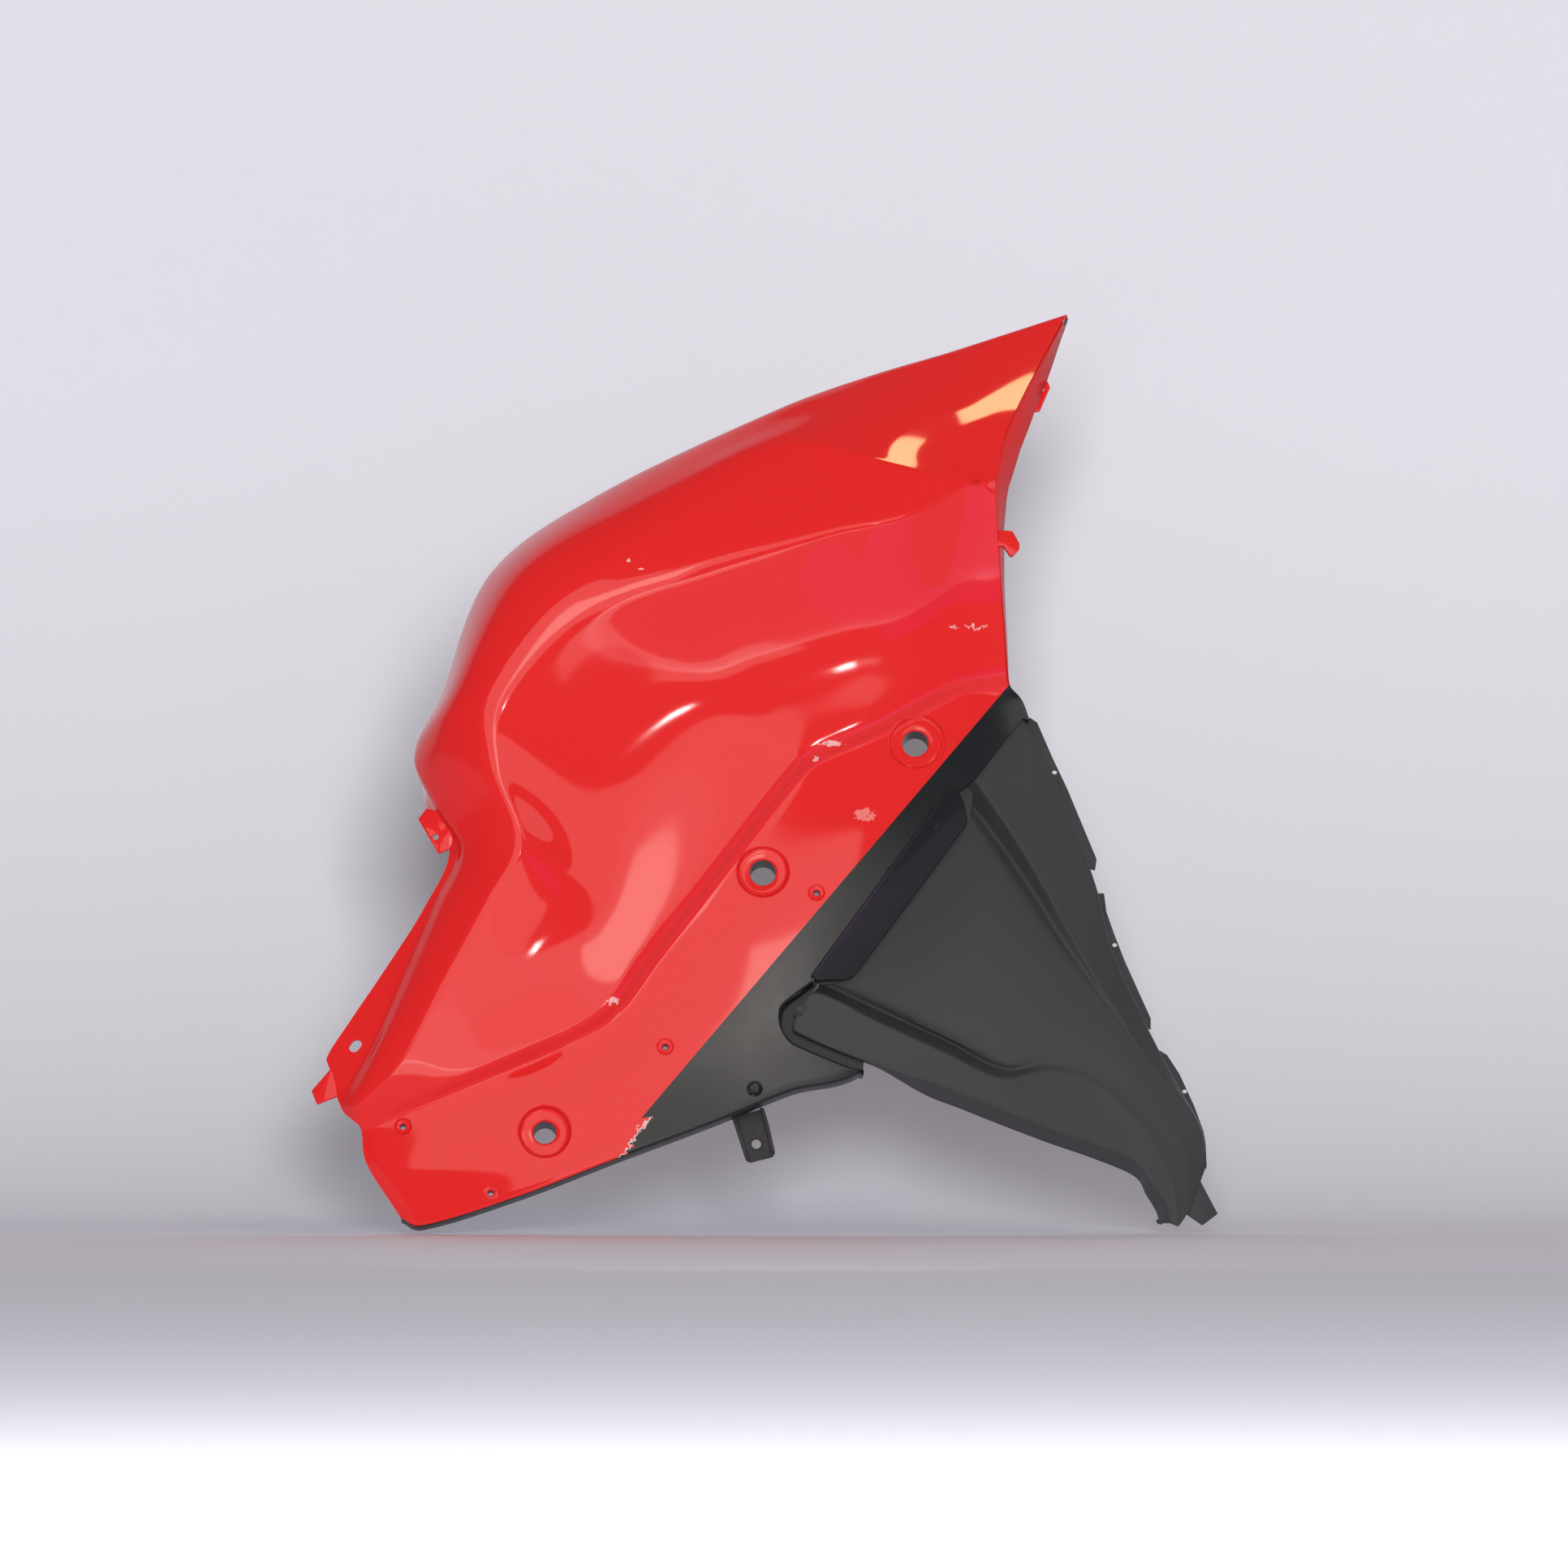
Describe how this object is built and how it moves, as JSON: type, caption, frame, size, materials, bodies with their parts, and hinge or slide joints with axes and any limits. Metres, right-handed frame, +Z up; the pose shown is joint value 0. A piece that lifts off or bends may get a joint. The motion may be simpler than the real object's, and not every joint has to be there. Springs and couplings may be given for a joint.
{
  "type": "motorcycle side fairing",
  "caption": "Side fairing of a motorcycle: painted outer moulding over a matt lower trim, with recessed fixing bores, locating holes and mounting tabs.",
  "frame": {"origin": "centre of the middle bore's seat, the floor of its round recess", "axes": "+Z up and +X along the side view of the fairing as it is set up, leaning back 14 degrees; +Y from the outer side to the back"},
  "size_m": [0.557, 0.1544, 0.5669],
  "materials": {
    "painted_panel": "gloss red paint, with bare gloss black below the mask line",
    "lower_trim": "fine matt grain",
    "screws": "zinc"
  },
  "bodies": {
    "root": {"painted_panel": "painted_panel", "lower_trim": "lower_trim", "joining_screws": "screws"}
  },
  "joints": []
}
